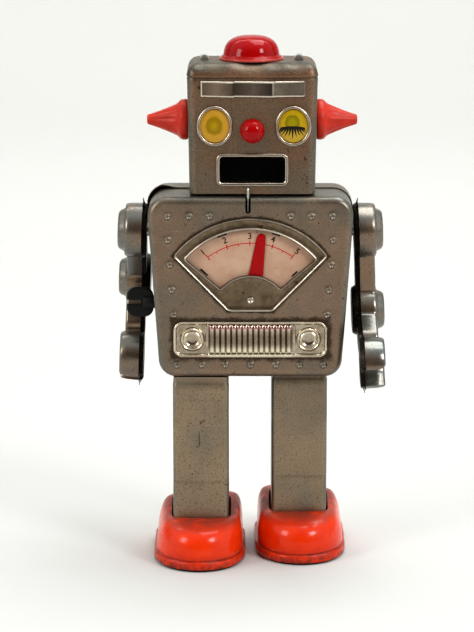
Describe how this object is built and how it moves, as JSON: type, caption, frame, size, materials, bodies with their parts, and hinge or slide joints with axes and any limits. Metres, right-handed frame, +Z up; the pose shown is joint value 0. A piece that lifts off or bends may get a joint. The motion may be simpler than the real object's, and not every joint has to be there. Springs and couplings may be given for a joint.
{
  "type": "tin wind-up robot",
  "caption": "Clockwork tin robot that shuffles on rollered boots, nods its head and swings a dial needle; box head, cone ears, claw arms and a side key.",
  "frame": {"origin": "on the floor, under the middle of the robot", "axes": "+Z up, the face looks along -Y, +X towards the robot's own left arm"},
  "size_m": [0.1238, 0.0853, 0.241],
  "materials": {
    "body_paint": "metallic gunmetal lacquer, worn",
    "boot_enamel": "glossy orange-red enamel",
    "red_gloss_plastic": "glossy translucent red",
    "red_ear_plastic": "satin red",
    "bright_plate": "bright plated tin",
    "bezel_metal": "dull plated tin with bright edges",
    "eye_picture": "yellow picture under clear plastic",
    "printed_card": "aged printed card",
    "needle_red": "satin red",
    "black_steel": "black lacquer",
    "steel": "plain steel",
    "blue_spring_steel": "blued",
    "gear_brass": "plain"
  },
  "bodies": {
    "torso": {"torso_front_shell": "body_paint", "torso_back_shell": "body_paint", "dial_bezel": "bezel_metal", "dial_rivet": "bright_plate", "dial_card": "printed_card", "needle_pivot": "steel", "grille_plate": "bright_plate", "neck_bracket": "steel", "motor_plate_right": "steel", "motor_plate_left": "steel", "motor_pillars": "steel", "leg_guides": "steel", "mainspring": "blue_spring_steel"},
    "head": {"head_shell": "body_paint", "head_lid": "body_paint", "lid_tabs": "body_paint", "head_dome": "red_gloss_plastic", "nose_button": "red_gloss_plastic", "mouth_frame": "bright_plate", "mouth_liner": "black_steel", "forehead_plate": "bright_plate", "nod_wire": "steel", "neck_pin": "steel", "eye_bezel_right": "bright_plate", "eye_bezel_left": "bright_plate", "eye_lens_right": "eye_picture", "eye_lens_left": "eye_picture", "ear_cone_right": "red_ear_plastic", "ear_cone_left": "red_ear_plastic"},
    "nod_lever": {"nod_lever": "steel"},
    "needle": {"needle": "needle_red"},
    "winder": {"winding_arbor": "steel", "ratchet_wheel": "steel", "winding_key": "black_steel"},
    "great_wheel": {"great_wheel": "gear_brass"},
    "crank": {"crankshaft": "steel", "crank_wheel": "gear_brass"},
    "star": {"star_arbor": "steel", "star_wheel": "gear_brass"},
    "pallet": {"pallet": "steel"},
    "leg_right": {"leg_column_right": "body_paint", "leg_hanger_right": "steel", "boot_right": "boot_enamel", "sole_plate_right": "black_steel", "roller_bracket_right": "steel"},
    "leg_left": {"leg_column_left": "body_paint", "leg_hanger_left": "steel", "boot_left": "boot_enamel", "sole_plate_left": "black_steel", "roller_bracket_left": "steel"},
    "front_roller_right": {"front_roller_right": "steel"},
    "rear_roller_right": {"rear_roller_right": "steel"},
    "front_roller_left": {"front_roller_left": "steel"},
    "rear_roller_left": {"rear_roller_left": "steel"},
    "arm_right": {"arm_outer_right": "body_paint", "arm_inner_right": "body_paint", "shoulder_pin_right": "steel"},
    "arm_left": {"arm_outer_left": "body_paint", "arm_inner_left": "body_paint", "shoulder_pin_left": "steel"}
  },
  "joints": [
    {"name": "right_leg_slide", "type": "slide", "parent": "torso", "child": "leg_right", "axis": [0, 1, 0], "range_m": [0, 0.011]},
    {"name": "left_leg_slide", "type": "slide", "parent": "torso", "child": "leg_left", "axis": [0, 1, 0], "range_m": [-0.0111, 0.0001]},
    {"name": "crank_turn", "type": "hinge", "parent": "torso", "child": "crank", "pos_m": [0, 0, 0.098], "axis": [1, 0, 0], "range_deg": [-0.5, 180.5]},
    {"name": "great_wheel_turn", "type": "hinge", "parent": "torso", "child": "great_wheel", "pos_m": [0, 0, 0.118], "axis": [1, 0, 0], "range_deg": [-45.2, 0.2]},
    {"name": "star_turn", "type": "hinge", "parent": "torso", "child": "star", "pos_m": [0, 0.0115, 0.10143], "axis": [1, 0, 0], "range_deg": [-721, 1]},
    {"name": "head_nod", "type": "hinge", "parent": "torso", "child": "head", "pos_m": [0, 0.015, 0.177], "axis": [-1, 0, 0], "range_deg": [-0.05, 6.05]},
    {"name": "nod_lever_tilt", "type": "hinge", "parent": "torso", "child": "nod_lever", "pos_m": [0, 0.006, 0.15], "axis": [-1, 0, 0], "range_deg": [-0.1, 9.1]},
    {"name": "needle_swing", "type": "hinge", "parent": "torso", "child": "needle", "pos_m": [0, -0.0201, 0.1167], "axis": [0, 1, 0], "range_deg": [-38.5, 22]},
    {"name": "key_turn", "type": "hinge", "parent": "torso", "child": "winder", "pos_m": [0, 0, 0.118], "axis": [1, 0, 0], "continuous": true},
    {"name": "pallet_rock", "type": "hinge", "parent": "torso", "child": "pallet", "pos_m": [0, 0.015, 0.1089], "axis": [1, 0, 0], "range_deg": [-4, 4]},
    {"name": "front_roller_right_spin", "type": "hinge", "parent": "leg_right", "child": "front_roller_right", "pos_m": [-0.02265, -0.0255, 0.0045], "axis": [1, 0, 0], "continuous": true},
    {"name": "rear_roller_right_spin", "type": "hinge", "parent": "leg_right", "child": "rear_roller_right", "pos_m": [-0.02265, 0.0145, 0.0045], "axis": [1, 0, 0], "continuous": true},
    {"name": "front_roller_left_spin", "type": "hinge", "parent": "leg_left", "child": "front_roller_left", "pos_m": [0.02265, -0.0145, 0.0045], "axis": [1, 0, 0], "continuous": true},
    {"name": "rear_roller_left_spin", "type": "hinge", "parent": "leg_left", "child": "rear_roller_left", "pos_m": [0.02265, 0.0255, 0.0045], "axis": [1, 0, 0], "continuous": true},
    {"name": "right_shoulder", "type": "hinge", "parent": "torso", "child": "arm_right", "pos_m": [-0.0496, 0, 0.1515], "axis": [0.9994, 0, -0.0349], "range_deg": [-4, 60]},
    {"name": "left_shoulder", "type": "hinge", "parent": "torso", "child": "arm_left", "pos_m": [0.0496, 0, 0.1515], "axis": [0.9994, 0, 0.0349], "range_deg": [-110, 60]}
  ],
  "couplings": [
    {"joint": "left_leg_slide", "follows": "right_leg_slide", "ratio": -1},
    {"joint": "crank_turn", "follows": "right_leg_slide", "rad_per_m": 285.6},
    {"joint": "great_wheel_turn", "follows": "right_leg_slide", "rad_per_m": -71.4},
    {"joint": "star_turn", "follows": "right_leg_slide", "rad_per_m": -1142.4},
    {"joint": "head_nod", "follows": "right_leg_slide", "rad_per_m": 9.52},
    {"joint": "nod_lever_tilt", "follows": "right_leg_slide", "rad_per_m": 14.28},
    {"joint": "needle_swing", "follows": "right_leg_slide", "rad_per_m": -60.293}
  ]
}
